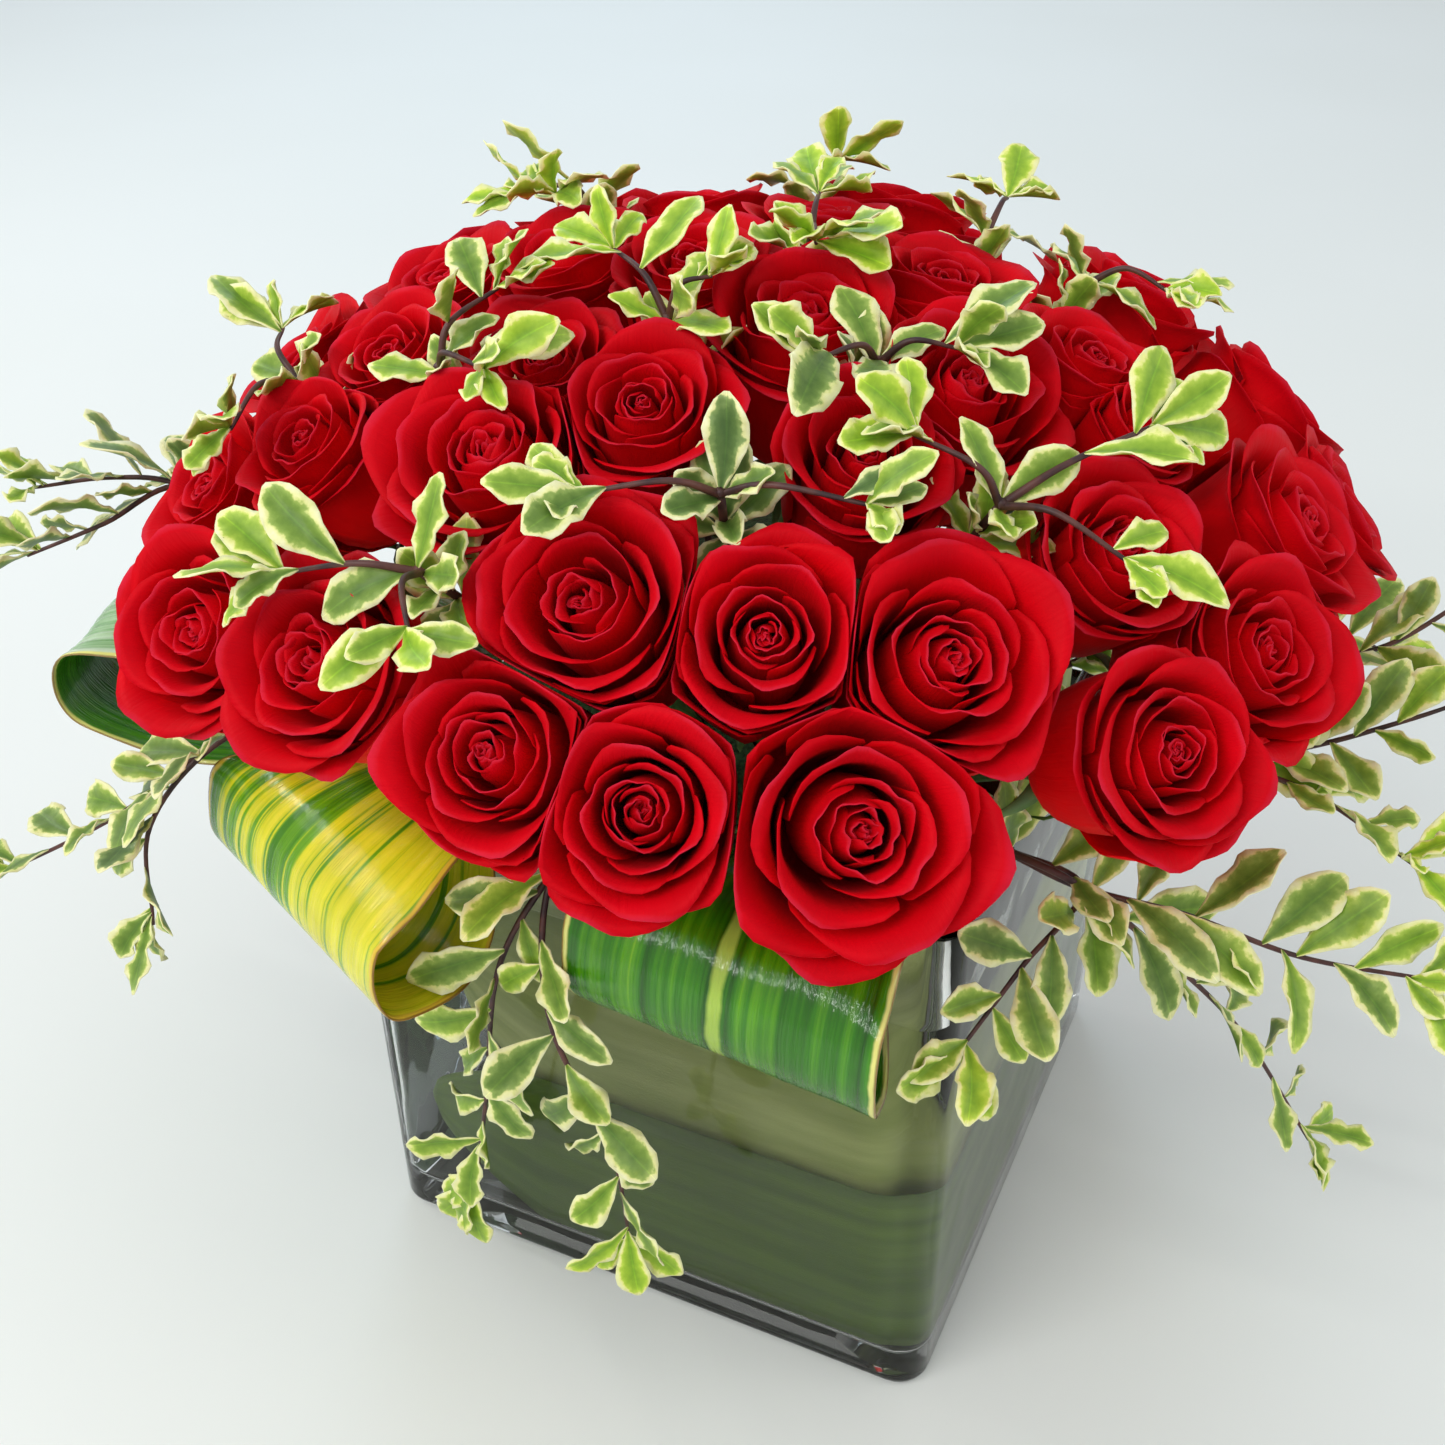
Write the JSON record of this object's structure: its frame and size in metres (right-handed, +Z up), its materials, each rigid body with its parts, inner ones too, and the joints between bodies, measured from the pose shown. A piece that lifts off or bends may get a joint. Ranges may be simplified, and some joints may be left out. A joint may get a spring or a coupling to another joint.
{
  "type": "rose arrangement",
  "caption": "Low dome of red roses with variegated sprigs and leaves rolled over the rim, in a clear glass cube vase of water with floral foam.",
  "frame": {"origin": "middle of the vase's underside, on the surface that it stands on", "axes": "+Z up out of the vase; -Y is the broad front of the vase, where the front leaf rolls over the rim; +X is to the right seen from the front"},
  "size_m": [0.4673, 0.362, 0.3654],
  "materials": {
    "vase_glass": "clear pressed glass, smooth, with a faint grey-green edge tint",
    "clear_water": "clear water",
    "floral_foam": "matte, fine open pores, soaked",
    "dark_leaf": "satin, fine lengthwise veins",
    "pale_leaf": "satin, fine lengthwise veins",
    "rolled_leaf": "glossy, fine lengthwise veins, cream-yellow margins",
    "striped_leaf": "glossy, yellow with green stripes along the leaf",
    "rose_petal": "soft velvet sheen, darker in the folds",
    "sprig_leaf": "semi-gloss, green middles with cream-yellow margins"
  },
  "bodies": {
    "root": {"glass_vase": "vase_glass", "water": "clear_water", "foam_block": "floral_foam", "lining_leaf_lower": "dark_leaf", "lining_leaf_upper": "pale_leaf", "rolled_leaf_front": "rolled_leaf", "rolled_leaf_corner": "striped_leaf", "rolled_leaf_left": "rolled_leaf", "rose_01": "rose_petal", "rose_02": "rose_petal", "rose_03": "rose_petal", "rose_04": "rose_petal", "rose_05": "rose_petal", "rose_06": "rose_petal", "rose_07": "rose_petal", "rose_08": "rose_petal", "rose_09": "rose_petal", "rose_10": "rose_petal", "rose_11": "rose_petal", "rose_12": "rose_petal", "rose_13": "rose_petal", "rose_14": "rose_petal", "rose_15": "rose_petal", "rose_16": "rose_petal", "rose_17": "rose_petal", "rose_18": "rose_petal", "rose_19": "rose_petal", "rose_20": "rose_petal", "rose_21": "rose_petal", "rose_22": "rose_petal", "rose_23": "rose_petal", "rose_24": "rose_petal", "rose_25": "rose_petal", "rose_26": "rose_petal", "rose_27": "rose_petal", "rose_28": "rose_petal", "rose_29": "rose_petal", "rose_30": "rose_petal", "rose_31": "rose_petal", "rose_32": "rose_petal", "rose_33": "rose_petal", "rose_34": "rose_petal", "rose_35": "rose_petal", "rose_36": "rose_petal", "rose_37": "rose_petal", "rose_38": "rose_petal", "rose_39": "rose_petal", "sprig_crown_left": "sprig_leaf", "sprig_shoulder_left": "sprig_leaf", "sprig_crown_front": "sprig_leaf", "sprig_middle_front": "sprig_leaf", "sprig_shoulder_right": "sprig_leaf", "sprig_skirt_left": "sprig_leaf", "sprig_crown_back": "sprig_leaf", "sprig_left_high": "sprig_leaf", "sprig_left_low": "sprig_leaf", "sprig_front": "sprig_leaf", "sprig_right_front": "sprig_leaf", "sprig_right_middle": "sprig_leaf", "sprig_right_back": "sprig_leaf"}
  },
  "joints": []
}
